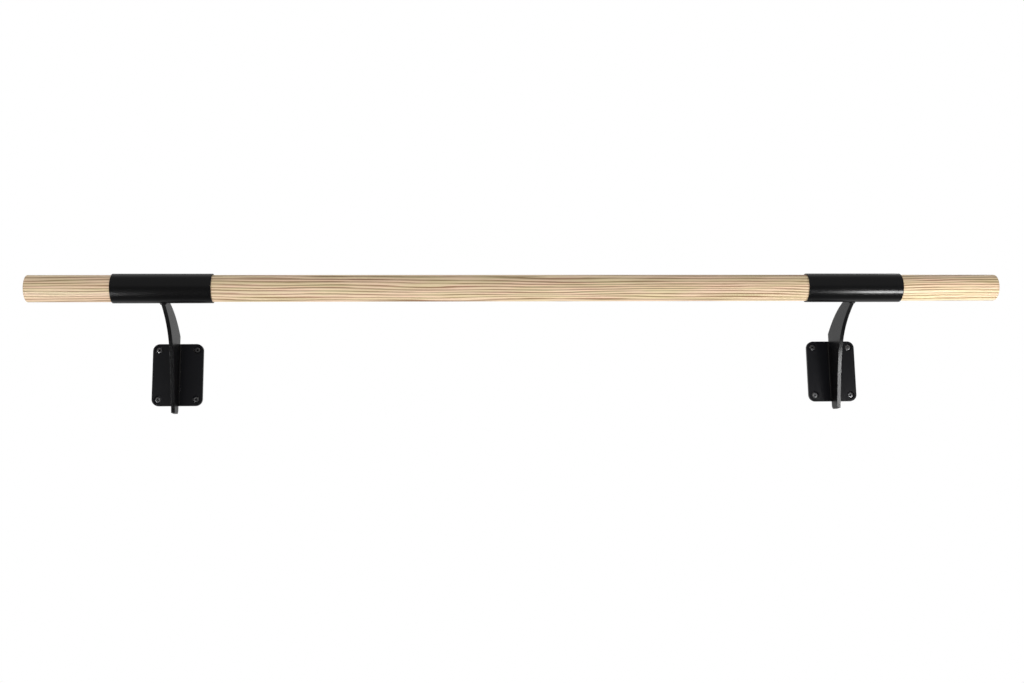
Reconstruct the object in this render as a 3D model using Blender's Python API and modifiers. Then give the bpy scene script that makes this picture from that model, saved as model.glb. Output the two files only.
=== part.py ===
"""Wall-mounted wooden pull-up bar.

A round wooden bar runs through two steel sleeves. Each sleeve is welded to the top of a
curved flat arm, and each arm is welded upright down the middle of a wall plate that four
sunk screws hold. One locking screw through the back of each sleeve stops the bar from turning.

World frame: +X along the bar, to the right for a person who faces the wall, +Y into the
wall, +Z up. The origin is on the wall, midway between the plates and level with their centres.
Lengths are in metres.
"""

import math

import bmesh
import bpy
from mathutils import Matrix, Vector

# The bar
BAR_DIAMETER = 0.041
BAR_LENGTH = 1.500
BAR_SHIFT = 0.014  # how far the bar sits to the right of the brackets' middle
BAR_EASED_EDGE = 0.0015

# Where the brackets hold it
BRACKET_SPACING = 1.068  # between the middles of the two brackets
BAR_REACH = 0.124  # from the wall to the bar's axis
BAR_RISE = 0.117  # from the plates' centres up to the bar's axis

# The sleeve: tube that the bar slides through with 0.25 mm to spare all round
SLEEVE_DIAMETER = 0.045
SLEEVE_WALL = 0.00175
SLEEVE_LENGTH = 0.150
SLEEVE_EASED_EDGE = 0.0004

# The wall plate
PLATE_WIDTH = 0.080
PLATE_HEIGHT = 0.100
PLATE_THICKNESS = 0.006
PLATE_CORNER = 0.011
PLATE_EASED_EDGE = 0.0007
HOLE_SPACING_X = 0.060
HOLE_SPACING_Z = 0.080
HOLE_DIAMETER = 0.006
SINK_DIAMETER = 0.0128  # of the countersink at the plate's front; its sides slope at 45 degrees

# The arm, in its side view: across is the distance from the bar's axis towards the wall,
# and up is the height above that axis
ARM_THICKNESS = 0.006
ARM_EASED_EDGE = 0.0007
ARM_ABOVE_PLATE = 0.012
ARM_BELOW_PLATE = 0.0135
ARM_TIP_WIDTH = 0.025
ARM_TIP_CORNER = 0.007
ARM_FRONT_ANGLE = math.radians(-90)  # where its front edge meets the sleeve
ARM_BACK_ANGLE = math.radians(-33)  # where its back edge meets the sleeve
ARM_BACK_RADIUS = 0.195
ARM_ROOT = 0.004  # how far its edges run on into the sleeve before it is cut to fit
ARM_FRONT_HANDLES = (0.076, 0.097)  # how far the front edge's curve keeps its end directions
ARM_FRONT_START = math.radians(-27)  # the front edge's direction at the sleeve
ARM_FRONT_END = math.radians(-78)  # and at its tip

# The screws
WALL_SCREW_DIAMETER = 0.005
WALL_SCREW_LENGTH = 0.025  # over all, as for any flat-headed screw
WALL_SCREW_HEAD = 0.0092
WALL_SCREW_RIM = 0.0002  # the straight edge round the flat head
WALL_SCREW_SUNK = 0.0012  # how far its face is below the plate's front
WALL_SCREW_SOCKET = 0.003  # across the flats
WALL_SCREW_SOCKET_DEPTH = 0.0019
LOCK_SCREW_DIAMETER = 0.004
LOCK_SCREW_LENGTH = 0.016  # under its round head
LOCK_SCREW_HEAD = 0.0076
LOCK_SCREW_HEAD_HEIGHT = 0.0022
LOCK_SCREW_RIM = 0.0005
LOCK_SCREW_SOCKET = 0.0025
LOCK_SCREW_SOCKET_DEPTH = 0.0014
LOCK_SCREW_ANGLE = math.radians(50)  # above level, on the side that faces the wall
DOME_ANGLES = (0, 34, 52, 68, 80, 90)  # degrees from the top of a round head to its rim

# The weld beads, and the gaps between pieces that touch
WELD_RADIUS = 0.0021
GAP = 0.0003

# How finely the pieces are shaped
ROUND_STEPS = 64  # facets round the bar and the sleeves
SMALL_ROUND_STEPS = 20  # facets round the screws and their holes
CORNER_POINTS = 7  # along a rounded corner of a plate or an arm
FRONT_EDGE_POINTS = 28  # along the arm's front edge
BACK_EDGE_POINTS = 14  # and its back edge
SLEEVE_WELD_POINTS = 10  # along one side of the bead under the sleeve
WELD_STEPS = 3  # round a quarter of a bead
EASED_EDGE_STEPS = 2
BAR_EDGE_STEPS = 3
SHARP_ANGLE = math.radians(40)  # edges that turn more than this are sharp
FLAT_ANGLE = math.radians(0.5)  # faces that meet at less than this are one face
MERGE_DISTANCE = 1e-5
CUTTER_MARGIN = 0.01  # how far a cutter runs past what it cuts

BAR_RADIUS = BAR_DIAMETER / 2
SLEEVE_RADIUS = SLEEVE_DIAMETER / 2
BAR_AXIS = (0, -BAR_REACH, BAR_RISE)  # in a bracket's frame
PLATE_FRONT_ACROSS = BAR_REACH - PLATE_THICKNESS  # the plate's front face in the arm's side view
TURN_TO_SIDE_VIEW = (math.pi / 2, 0, math.pi / 2)  # local X to the wall, Y up, Z to the right
TURN_TO_FRONT_VIEW = (math.pi / 2, 0, 0)  # local X to the right, Y up, Z away from the wall
TURN_ALONG_BAR = (0, math.pi / 2, 0)  # local Z to the right


def clear_scene():
    for old in list(bpy.data.objects):
        bpy.data.objects.remove(old, do_unlink=True)


def new_collection(name):
    collection = bpy.data.collections.new(name)
    bpy.context.scene.collection.children.link(collection)
    return collection


def finish(name, colour, roughness, metallic):
    """A plain material: the colour, roughness and metallic value of one kind of piece."""
    material = bpy.data.materials.new(name)
    material.use_nodes = True
    shader = material.node_tree.nodes["Principled BSDF"]
    shader.inputs["Base Color"].default_value = (*colour, 1.0)
    shader.inputs["Roughness"].default_value = roughness
    shader.inputs["Metallic"].default_value = metallic
    material.diffuse_color = (*colour, 1.0)
    return material


def add(name, data, material, parent=None, location=(0, 0, 0), rotation=(0, 0, 0)):
    """One named piece, placed in its parent's frame."""
    piece = bpy.data.objects.new(name, data)
    data.materials.append(material)
    piece.location = location
    piece.rotation_euler = rotation
    piece.parent = parent
    pieces.objects.link(piece)
    return piece


def add_cutter(name, data, parent=None, location=(0, 0, 0), rotation=(0, 0, 0)):
    cutter = bpy.data.objects.new(name, data)
    cutter.location = location
    cutter.rotation_euler = rotation
    cutter.parent = parent
    cutter.hide_render = True
    cutter.display_type = "WIRE"
    cutters.objects.link(cutter)
    return cutter


def cut(piece, cutter):
    modifier = piece.modifiers.new("cut_by_" + cutter.name, "BOOLEAN")
    modifier.operation = "DIFFERENCE"
    modifier.object = cutter


def ease_edges(piece, width, segments=EASED_EDGE_STEPS):
    bevel = piece.modifiers.new("eased_edges", "BEVEL")
    bevel.width = width
    bevel.segments = segments
    bevel.limit_method = "ANGLE"
    bevel.angle_limit = SHARP_ANGLE


def cylinder_mesh(name, radius, length, steps):
    """A solid cylinder along local Z, centred on its origin."""
    mesh = bpy.data.meshes.new(name)
    shape = bmesh.new()
    bmesh.ops.create_cone(
        shape, cap_ends=True, segments=steps, radius1=radius, radius2=radius, depth=length
    )
    shape.to_mesh(mesh)
    shape.free()
    mesh.shade_smooth()
    mesh.set_sharp_from_angle(angle=SHARP_ANGLE)
    return mesh


def box_mesh(name, size):
    mesh = bpy.data.meshes.new(name)
    shape = bmesh.new()
    bmesh.ops.create_cube(shape, size=1.0)
    bmesh.ops.scale(shape, vec=size, verts=shape.verts)
    shape.to_mesh(mesh)
    shape.free()
    return mesh


def mesh_from_curve(curve):
    """The mesh that a curve makes, with its loose caps welded and its flat faces whole."""
    holder = bpy.data.objects.new(curve.name + "_curve", curve)
    cutters.objects.link(holder)
    bpy.context.view_layer.update()
    evaluated = holder.evaluated_get(bpy.context.evaluated_depsgraph_get())
    mesh = bpy.data.meshes.new_from_object(evaluated)
    mesh.name = curve.name
    bpy.data.objects.remove(holder)
    shape = bmesh.new()
    shape.from_mesh(mesh)
    bmesh.ops.remove_doubles(shape, verts=shape.verts, dist=MERGE_DISTANCE)
    bmesh.ops.dissolve_limit(
        shape, angle_limit=FLAT_ANGLE, verts=shape.verts, edges=shape.edges
    )
    shape.to_mesh(mesh)
    shape.free()
    mesh.shade_smooth()
    mesh.set_sharp_from_angle(angle=SHARP_ANGLE)
    return mesh


def flat_mesh(name, outlines, thickness):
    """A flat piece in local XY: the first outline is its edge, and the others are its holes."""
    curve = bpy.data.curves.new(name, "CURVE")
    curve.dimensions = "2D"
    curve.fill_mode = "BOTH"
    curve.extrude = thickness / 2
    for outline in outlines:
        add_line(curve, [(x, y, 0) for x, y in outline], closed=True)
    return mesh_from_curve(curve)


def rod_mesh(name, points, radius, closed=False):
    """A round bead along a line of points."""
    curve = bpy.data.curves.new(name, "CURVE")
    curve.dimensions = "3D"
    curve.bevel_depth = radius
    curve.bevel_resolution = WELD_STEPS
    curve.use_fill_caps = not closed
    add_line(curve, points, closed)
    return mesh_from_curve(curve)


def add_line(curve, points, closed):
    line = curve.splines.new("POLY")
    line.points.add(len(points) - 1)
    for place, point in zip(line.points, points):
        place.co = (*point, 1)
    line.use_cyclic_u = closed


def turned(name, profile, steps, material, parent=None, location=(0, 0, 0), rotation=(0, 0, 0)):
    """A piece turned round local Z from (radius, height) points that run down its outer side."""
    mesh = bpy.data.meshes.new(name)
    closed = min(radius for radius, _ in profile) > 0
    shape = bmesh.new()
    corners = [shape.verts.new((radius, 0, height)) for radius, height in profile]
    ends = corners[1:] + corners[:1] if closed else corners[1:]
    for start, end in zip(corners, ends):
        shape.edges.new((start, end))
    shape.to_mesh(mesh)
    shape.free()
    piece = add(name, mesh, material, parent, location, rotation)
    screw = piece.modifiers.new("turn", "SCREW")
    screw.steps = steps
    screw.render_steps = steps
    screw.use_merge_vertices = True
    screw.merge_threshold = MERGE_DISTANCE
    screw.use_smooth_shade = True
    return piece


def arc(centre, radius, start, end, count):
    """Points on an arc, both ends included."""
    return [
        (
            centre[0] + radius * math.cos(start + (end - start) * i / (count - 1)),
            centre[1] + radius * math.sin(start + (end - start) * i / (count - 1)),
        )
        for i in range(count)
    ]


def arc_between(start, end, radius, count):
    """An arc of this radius from one point to another, bulging to the right of the way there."""
    start, end = Vector(start), Vector(end)
    half = (end - start) / 2
    to_centre = Vector((-half.y, half.x)).normalized()
    centre = start + half + to_centre * math.sqrt(radius**2 - half.length_squared)
    first = math.atan2(*(start - centre).yx)
    last = math.atan2(*(end - centre).yx)
    return arc(centre, radius, first, last, count)


def smooth_curve(start, start_direction, end, end_direction, handles, count):
    """A cubic curve that leaves and arrives in the given directions."""
    toward = Vector((math.cos(start_direction), math.sin(start_direction))) * handles[0]
    arriving = Vector((math.cos(end_direction), math.sin(end_direction))) * handles[1]
    a, d = Vector(start), Vector(end)
    b, c = a + toward, d - arriving
    points = []
    for i in range(count):
        t = i / (count - 1)
        s = 1 - t
        points.append(tuple(s**3 * a + 3 * s * s * t * b + 3 * s * t * t * c + t**3 * d))
    return points


def rounded_rectangle(width, height, corner, steps):
    outline = []
    for quarter, (sx, sy) in enumerate(((1, 1), (-1, 1), (-1, -1), (1, -1))):
        centre = (sx * (width / 2 - corner), sy * (height / 2 - corner))
        start = quarter * math.pi / 2
        outline += arc(centre, corner, start, start + math.pi / 2, steps)
    return outline


def circle(centre, radius, steps):
    return arc(centre, radius, 0, 2 * math.pi * (steps - 1) / steps, steps)


def grown(outline, amount):
    """The outline moved out by this amount; the outline runs anticlockwise."""
    moved = []
    for i, here in enumerate(outline):
        before, after = Vector(outline[i - 1]), Vector(outline[(i + 1) % len(outline)])
        along = after - before
        moved.append(tuple(Vector(here) + Vector((along.y, -along.x)).normalized() * amount))
    return moved


def sleeve_point(angle, radius=SLEEVE_RADIUS):
    """A point on the sleeve in the arm's side view."""
    return radius * math.cos(angle), radius * math.sin(angle)


def run_on(before, end):
    """The point where an edge of the arm ends inside the sleeve."""
    before, end = Vector(before), Vector(end)
    return tuple(end + (end - before).normalized() * ARM_ROOT)


def arm_outline():
    """The arm's side view, anticlockwise: down its front edge, round its tip and up its back."""
    wall_side = PLATE_FRONT_ACROSS - GAP
    top = -BAR_RISE + PLATE_HEIGHT / 2 + ARM_ABOVE_PLATE
    bottom = -BAR_RISE - PLATE_HEIGHT / 2 - ARM_BELOW_PLATE
    tip = (wall_side - ARM_TIP_WIDTH, bottom)
    front_edge = smooth_curve(
        sleeve_point(ARM_FRONT_ANGLE),
        ARM_FRONT_START,
        tip,
        ARM_FRONT_END,
        ARM_FRONT_HANDLES,
        FRONT_EDGE_POINTS,
    )
    corner_centre = (wall_side - ARM_TIP_CORNER, bottom + ARM_TIP_CORNER)
    tip_corner = arc(corner_centre, ARM_TIP_CORNER, -math.pi / 2, 0, CORNER_POINTS)
    back_edge = arc_between(
        (wall_side, top), sleeve_point(ARM_BACK_ANGLE), ARM_BACK_RADIUS, BACK_EDGE_POINTS
    )
    roots = [run_on(back_edge[-2], back_edge[-1]), run_on(front_edge[1], front_edge[0])]
    return front_edge + tip_corner + back_edge + roots


def make_bar():
    middle = Vector(BAR_AXIS) + Vector((BAR_SHIFT, 0, 0))
    mesh = cylinder_mesh("wooden_bar", BAR_RADIUS, BAR_LENGTH, ROUND_STEPS)
    bar = add("wooden_bar", mesh, wood, None, middle, TURN_ALONG_BAR)
    ease_edges(bar, BAR_EASED_EDGE, BAR_EDGE_STEPS)
    return bar


def make_sleeve(side, bracket):
    """The tube round the bar, with the ends' edges eased."""
    half, ease = SLEEVE_LENGTH / 2, SLEEVE_EASED_EDGE
    bore = SLEEVE_RADIUS - SLEEVE_WALL
    upper = [
        (bore, half - ease),
        (bore + ease, half),
        (SLEEVE_RADIUS - ease, half),
        (SLEEVE_RADIUS, half - ease),
    ]
    profile = upper + [(radius, -height) for radius, height in reversed(upper)]
    return turned(
        side + "_sleeve", profile, ROUND_STEPS, coat, bracket, BAR_AXIS, TURN_ALONG_BAR
    )


def make_arm(side, bracket, sleeve_clearance):
    mesh = flat_mesh(side + "_arm", [arm_outline()], ARM_THICKNESS)
    arm = add(side + "_arm", mesh, arm_coat, bracket, BAR_AXIS, TURN_TO_SIDE_VIEW)
    ease_edges(arm, ARM_EASED_EDGE)
    cut(arm, sleeve_clearance)
    return arm


def screw_places():
    """The plate's four hole centres, as (across, up), with a name for each."""
    return [
        (f"{level}_{hand}", (sx * HOLE_SPACING_X / 2, sz * HOLE_SPACING_Z / 2))
        for level, sz in (("top", 1), ("bottom", -1))
        for hand, sx in (("left", -1), ("right", 1))
    ]


def sinks_mesh(name):
    """Four cones with their wide ends forward, in the plate's local frame."""
    mesh = bpy.data.meshes.new(name)
    shape = bmesh.new()
    tip, mouth = HOLE_DIAMETER / 4, SINK_DIAMETER / 2 + CUTTER_MARGIN
    depth = mouth - tip
    middle = PLATE_THICKNESS / 2 + CUTTER_MARGIN - depth / 2
    for _, (across, up) in screw_places():
        bmesh.ops.create_cone(
            shape,
            cap_ends=True,
            segments=SMALL_ROUND_STEPS,
            radius1=tip,
            radius2=mouth,
            depth=depth,
            matrix=Matrix.Translation((across, up, middle)),
        )
    shape.to_mesh(mesh)
    shape.free()
    return mesh


def make_plate(side, bracket):
    outlines = [rounded_rectangle(PLATE_WIDTH, PLATE_HEIGHT, PLATE_CORNER, CORNER_POINTS)]
    outlines += [
        circle(place, HOLE_DIAMETER / 2, SMALL_ROUND_STEPS) for _, place in screw_places()
    ]
    mesh = flat_mesh(side + "_wall_plate", outlines, PLATE_THICKNESS)
    middle = (0, -PLATE_THICKNESS / 2, 0)
    plate = add(side + "_wall_plate", mesh, plate_coat, bracket, middle, TURN_TO_FRONT_VIEW)
    ease_edges(plate, PLATE_EASED_EDGE)
    name = side + "_countersinks"
    cut(plate, add_cutter(name, sinks_mesh(name), bracket, middle, TURN_TO_FRONT_VIEW))
    return plate


def flat_head():
    """The wall screw's head from the middle of its face out to its shank, as (radius, height)."""
    radius, slope = WALL_SCREW_HEAD / 2, (WALL_SCREW_HEAD - WALL_SCREW_DIAMETER) / 2
    return [
        (0, 0),
        (radius, 0),
        (radius, -WALL_SCREW_RIM),
        (radius - slope, -WALL_SCREW_RIM - slope),
    ]


def round_head():
    """The lock screw's head from its top out to its shank; it sits on the plane at height 0."""
    radius, dome = LOCK_SCREW_HEAD / 2, LOCK_SCREW_HEAD_HEIGHT - LOCK_SCREW_RIM
    turns = map(math.radians, DOME_ANGLES)
    points = [(radius * math.sin(turn), LOCK_SCREW_RIM + dome * math.cos(turn)) for turn in turns]
    return points + [(radius, 0), (LOCK_SCREW_DIAMETER / 2, 0)]


def socket_screw(name, head, length, socket, socket_depth, place):
    """A pointed screw along local Z, with a hexagon socket in the top of its head."""
    shank_radius, top = head[-1][0], head[0][1]
    profile = head + [(shank_radius, -length + 2 * shank_radius), (0, -length)]
    parent, location, rotation = place
    screw = turned(name, profile, SMALL_ROUND_STEPS, screw_steel, parent, location, rotation)
    hexagon = cylinder_mesh(name + "_socket", socket / math.sqrt(3), 2 * socket_depth, 6)
    turn = Matrix.LocRotScale(Vector(location), screw.rotation_euler, None)
    mouth = turn @ Vector((0, 0, top))
    cut(screw, add_cutter(name + "_socket", hexagon, parent, mouth, rotation))


def make_wall_screws(side, bracket):
    face = -PLATE_THICKNESS + WALL_SCREW_SUNK
    for hole, (across, up) in screw_places():
        socket_screw(
            f"{side}_wall_screw_{hole}",
            flat_head(),
            WALL_SCREW_LENGTH,
            WALL_SCREW_SOCKET,
            WALL_SCREW_SOCKET_DEPTH,
            (bracket, (across, face, up), TURN_TO_FRONT_VIEW),
        )


def make_lock_screw(side, bracket, bar, sleeve):
    """The screw through the back of the sleeve into the bar, and the holes that it needs."""
    outward = Vector((0, math.cos(LOCK_SCREW_ANGLE), math.sin(LOCK_SCREW_ANGLE)))
    seat = Vector(BAR_AXIS) + outward * (SLEEVE_RADIUS + GAP)
    rotation = (LOCK_SCREW_ANGLE - math.pi / 2, 0, 0)
    socket_screw(
        side + "_lock_screw",
        round_head(),
        LOCK_SCREW_LENGTH,
        LOCK_SCREW_SOCKET,
        LOCK_SCREW_SOCKET_DEPTH,
        (bracket, seat, rotation),
    )
    depth = LOCK_SCREW_LENGTH + GAP
    hole = cylinder_mesh(
        side + "_lock_hole",
        LOCK_SCREW_DIAMETER / 2 + GAP,
        depth + CUTTER_MARGIN,
        SMALL_ROUND_STEPS,
    )
    middle = seat + outward * (CUTTER_MARGIN - depth) / 2
    cutter = add_cutter(side + "_lock_hole", hole, bracket, middle, rotation)
    cut(bar, cutter)
    cut(sleeve, cutter)


def make_sleeve_weld(side, bracket, sleeve_clearance, arm_clearance):
    """The bead all round the arm's end, where it meets the sleeve."""
    out = SLEEVE_RADIUS + GAP
    beside = ARM_THICKNESS / 2 + GAP
    first = ARM_FRONT_ANGLE - GAP / out
    last = ARM_BACK_ANGLE + GAP / out
    angles = [
        first + (last - first) * i / (SLEEVE_WELD_POINTS - 1) for i in range(SLEEVE_WELD_POINTS)
    ]
    one_side = [(*sleeve_point(angle, out), beside) for angle in angles]
    other_side = [(across, up, -beside) for across, up, beside in reversed(one_side)]
    mesh = rod_mesh(side + "_sleeve_weld", one_side + other_side, WELD_RADIUS, closed=True)
    weld = add(side + "_sleeve_weld", mesh, weld_coat, bracket, BAR_AXIS, TURN_TO_SIDE_VIEW)
    cut(weld, sleeve_clearance)
    cut(weld, arm_clearance)


def make_plate_welds(side, bracket, plate_clearance, arm_clearance):
    """The two beads down the plate, one on each side of the arm."""
    end = PLATE_HEIGHT / 2 - 2 * PLATE_EASED_EDGE
    for hand, sign in (("left", -1), ("right", 1)):
        name = f"{side}_plate_weld_{hand}"
        across = sign * (ARM_THICKNESS / 2 + GAP)
        line = [(across, -PLATE_THICKNESS - GAP, z) for z in (end, -end)]
        weld = add(name, rod_mesh(name, line, WELD_RADIUS), weld_coat, bracket)
        cut(weld, plate_clearance)
        cut(weld, arm_clearance)


def make_bracket(side, sign, bar):
    """Everything that one wall plate carries, placed from an empty on the wall."""
    bracket = bpy.data.objects.new(side + "_bracket", None)
    bracket.location = (sign * BRACKET_SPACING / 2, 0, 0)
    pieces.objects.link(bracket)

    tube = cylinder_mesh(
        side + "_sleeve_clearance", SLEEVE_RADIUS + GAP, SLEEVE_LENGTH, ROUND_STEPS
    )
    sleeve_clearance = add_cutter(
        side + "_sleeve_clearance", tube, bracket, BAR_AXIS, TURN_ALONG_BAR
    )
    slab = flat_mesh(
        side + "_arm_clearance", [grown(arm_outline(), GAP)], ARM_THICKNESS + 2 * GAP
    )
    arm_clearance = add_cutter(
        side + "_arm_clearance", slab, bracket, BAR_AXIS, TURN_TO_SIDE_VIEW
    )
    block = box_mesh(side + "_plate_clearance", (PLATE_WIDTH, PLATE_THICKNESS, PLATE_HEIGHT))
    plate_clearance = add_cutter(
        side + "_plate_clearance", block, bracket, (0, -PLATE_THICKNESS / 2 - GAP, 0)
    )

    sleeve = make_sleeve(side, bracket)
    make_arm(side, bracket, sleeve_clearance)
    make_plate(side, bracket)
    make_wall_screws(side, bracket)
    make_lock_screw(side, bracket, bar, sleeve)
    make_sleeve_weld(side, bracket, sleeve_clearance, arm_clearance)
    make_plate_welds(side, bracket, plate_clearance, arm_clearance)


clear_scene()
pieces = new_collection("pull_up_bar")
cutters = new_collection("cutters")
wood = finish("pale_wood", (0.76, 0.58, 0.38), 0.5, 0.0)
coat = finish("black_coat_on_sleeve", (0.012, 0.012, 0.013), 0.35, 0.0)
arm_coat = finish("black_coat_on_arm", (0.012, 0.012, 0.013), 0.38, 0.0)
plate_coat = finish("black_coat_on_plate", (0.013, 0.013, 0.014), 0.42, 0.0)
weld_coat = finish("black_coat_on_weld", (0.012, 0.012, 0.013), 0.36, 0.0)
screw_steel = finish("screw_steel", (0.42, 0.42, 0.43), 0.32, 1.0)

wooden_bar = make_bar()
make_bracket("left", -1, wooden_bar)
make_bracket("right", 1, wooden_bar)
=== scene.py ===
"""Looks of the wall-mounted wooden pull-up bar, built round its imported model.

The bar, sleeves, arms, plates, weld beads and screws are made here as fine meshes, in the places
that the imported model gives. Lengths are in metres, in the model's frame: +X along the bar, +Y into
the wall and +Z up.
"""

import math

import bmesh
import bpy
from mathutils import Matrix, Vector


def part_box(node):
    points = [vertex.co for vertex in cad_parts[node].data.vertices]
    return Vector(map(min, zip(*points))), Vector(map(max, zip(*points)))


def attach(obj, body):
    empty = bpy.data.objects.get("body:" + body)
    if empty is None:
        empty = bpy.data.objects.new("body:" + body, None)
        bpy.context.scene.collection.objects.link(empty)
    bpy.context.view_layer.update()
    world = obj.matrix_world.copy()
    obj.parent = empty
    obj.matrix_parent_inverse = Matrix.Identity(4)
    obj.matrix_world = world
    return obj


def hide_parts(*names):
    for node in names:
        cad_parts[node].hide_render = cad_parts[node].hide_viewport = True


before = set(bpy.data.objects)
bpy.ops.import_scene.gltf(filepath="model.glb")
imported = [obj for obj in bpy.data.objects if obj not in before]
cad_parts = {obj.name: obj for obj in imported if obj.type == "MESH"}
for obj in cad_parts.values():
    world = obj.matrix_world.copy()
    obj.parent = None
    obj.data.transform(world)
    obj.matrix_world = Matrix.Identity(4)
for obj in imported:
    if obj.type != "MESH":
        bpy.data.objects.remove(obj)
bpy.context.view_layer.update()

SIDES = ("left", "right")
HOLES = ("top_left", "top_right", "bottom_left", "bottom_right")
GAP = 0.0003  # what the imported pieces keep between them
SINK_IN = 0.00005  # how far a weld bead goes into the pieces that it joins

# How fine the meshes are: steps round a circle, or along a curve
ROUND_STEPS = 192
EDGE_STEPS = 5
BEVEL_STEPS = 4
BAR_SPANS = 60
ARM_FRONT_STEPS = 120
ARM_TIP_STEPS = 12
ARM_BACK_STEPS = 60
ARM_SEAT_STEPS = 24
PLATE_CORNER_STEPS = 16
SINK_STEPS = 64
DRILL_STEPS = 48
HEAD_STEPS = 12
SCREW_STEPS = 40
BEAD_STEPS = 20
BEAD_CORNER_STEPS = 8

# The angles from which a fold in a mesh counts as an edge
TURNED_FOLD = math.radians(30)
BEVEL_FOLD = math.radians(40)
ARM_FOLD = math.radians(50)
BEAD_FOLD = math.radians(60)

# The bar and the sleeves
BAR_EDGE = 0.0015
SLEEVE_WALL = 0.00175
SLEEVE_EDGE = 0.0004

# The arm's side view, from the bar's axis: across to the wall, and up
ARM_EDGE = 0.0007
ARM_ABOVE_PLATE = 0.012
ARM_TIP_WIDTH = 0.025
ARM_TIP_CORNER = 0.007
ARM_FRONT_ANGLE = math.radians(-90)
ARM_BACK_ANGLE = math.radians(-33)
ARM_BACK_RADIUS = 0.195
ARM_FRONT_HANDLES = (0.076, 0.097)
ARM_FRONT_START = math.radians(-27)
ARM_FRONT_END = math.radians(-78)

# The plate and its countersunk holes
PLATE_EDGE = 0.0007
PLATE_CORNER = 0.011
HOLE_RADIUS = 0.003
SINK_RADIUS = 0.0064
SINK_CLEAR = 0.002  # how far the cutter stands out of both faces
SINK_LIP = 0.0003  # the rounding where the coat runs over the countersink's mouth
LIP_OUTSIDE = 0.42  # how much of the lip lies outside the countersink
LIP_WIDTH = 0.7
LIP_DEPTH = 0.75
LIP_CURVE = 1.6
LIP_SHARES = (0.02, 0.3, 0.55, 0.8, 1.0)  # of the way over the lip, one for each row

# The wall screws
WALL_SCREW_RADIUS = 0.0025
WALL_SCREW_HEAD = 0.0046
WALL_SCREW_SEAT = 0.0002  # how far below the face the head's cone would start
WALL_SCREW_CROWN = ((0.6, 0), (0.74, 0), (0.80, -0.00006), (0.86, -0.00019))  # share out, height
WALL_SCREW_RIM = 0.0006  # how far below the face the head is widest
WALL_SCREW_RIM_CORNER = 0.0001
WALL_SCREW_NECK = 0.0003
WALL_SCREW_NECK_END = 0.0002
WALL_SCREW_PITCH = 0.0022
WALL_SCREW_SOCKET = 0.003
WALL_SCREW_SOCKET_DEPTH = 0.0019
WALL_SCREW_TURN = 47  # degrees from one screw's socket to the next

# The lock screws
LOCK_SCREW_RADIUS = 0.002
LOCK_SCREW_HEAD = 0.0038
LOCK_SCREW_HEAD_HEIGHT = 0.0022
LOCK_SCREW_RIM = 0.0005
LOCK_SCREW_RIM_CORNER = 0.0002
LOCK_SCREW_LENGTH = 0.016
LOCK_SCREW_PITCH = 0.0016
LOCK_SCREW_SOCKET = 0.0025
LOCK_SCREW_SOCKET_DEPTH = 0.0014
LOCK_SCREW_ANGLE = math.radians(50)
LOCK_SCREW_TURN = 0.6
DRILL_CLEAR = 0.01  # how far the drill stands out of the sleeve

# Threads and sockets of both kinds of screw
THREAD_CORE = 0.70  # the core's share of the screw's radius
THREAD_ROWS = 12  # rows of points in one pitch
THREAD_RIDGE = 0.28  # half the ridge's width, as a share of the pitch
THREAD_START = 0.0008  # from the head's end to the thread
POINT_LENGTH = 2.2  # in radii of the screw
SOCKET_CHAMFER = 0.00025
SOCKET_MOUTH_OVERLAP = 0.0003
SOCKET_CLEAR = 0.001

# The weld beads
BEAD_RADIUS = 0.0021
BEAD_RIPPLE = 0.0019  # from one ripple to the next
BEAD_SWELL = 0.07  # how much a ripple stands out, as a share of the bead's radius
BEAD_CREST = 0.6  # below 1, ripples are round with narrow valleys
BEAD_UNEVENNESS = ((0.02, 410), (0.015, 173))  # share of the radius, and turn in each metre
BEAD_ROW = 0.00038
BEAD_CORNER = 0.0023
BEAD_END_INSET = 0.0004
BEAD_END_SIZE = 0.45  # the share of the radius that is left at a bead's very end
BEAD_END_TAPER = 0.0025
PLATE_CUTTER_HEIGHT = 1.2  # in heights of the plate
SLEEVE_CUTTER_HALF = 0.05

# The wood's growth rings
GROWTH_SPACING = 0.0042
HEART_BEHIND = 0.03
HEART_BELOW = 0.19
EARLY_WOOD = ((0.80, 0.655, 0.40, 1.0), (0.89, 0.66, 0.47, 1.0))  # yellow patches, red patches
LATE_WOOD = ((0.285, 0.19, 0.080, 1.0), (0.35, 0.185, 0.10, 1.0))
PORE_WOOD = (0.30, 0.19, 0.10, 1.0)
END_WOOD = (0.52, 0.36, 0.21, 1.0)
END_DEPTH = (0.0016, 0.0003)  # below the sawn end, where its colour starts and where it is full
GRAIN_RELIEF = 0.00005

# The coat's and the screws' relief, and the painted shade in the screws' sockets
COAT_RELIEF = 0.000011
TURNING_MARKS = 42000.0  # radians in each metre from the screw's axis
SCREW_RELIEF = 0.000006
# painted shade: the dark colour put inside the screws' sockets
SOCKET_SHADE = (0.05, 0.05, 0.052, 1.0)

# The surround's glow, where 1 is white
FRONT_GLOW = 0.04
ABOVE_GLOW = 0.16
BEHIND_GLOW = 0.43
BELOW_DIMMING = 0.7
SOFT_GLOW = 0.22  # what dull surfaces get from all round, besides the rest
BOUNCED_GLOW = 0.45  # and from below


# Shapes


def arc(centre, radius, start, end, count):
    """Points on an arc, both ends included."""
    turns = [start + (end - start) * i / (count - 1) for i in range(count)]
    return [(centre[0] + radius * math.cos(t), centre[1] + radius * math.sin(t)) for t in turns]


def arc_between(start, end, radius, count):
    """An arc of this radius from one point to another, bulging to the right of the way there."""
    start, end = Vector(start), Vector(end)
    half = (end - start) / 2
    to_centre = Vector((-half.y, half.x)).normalized()
    centre = start + half + to_centre * math.sqrt(radius**2 - half.length_squared)
    first = math.atan2(*(start - centre).yx)
    last = math.atan2(*(end - centre).yx)
    return arc(centre, radius, first, last, count)


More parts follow.
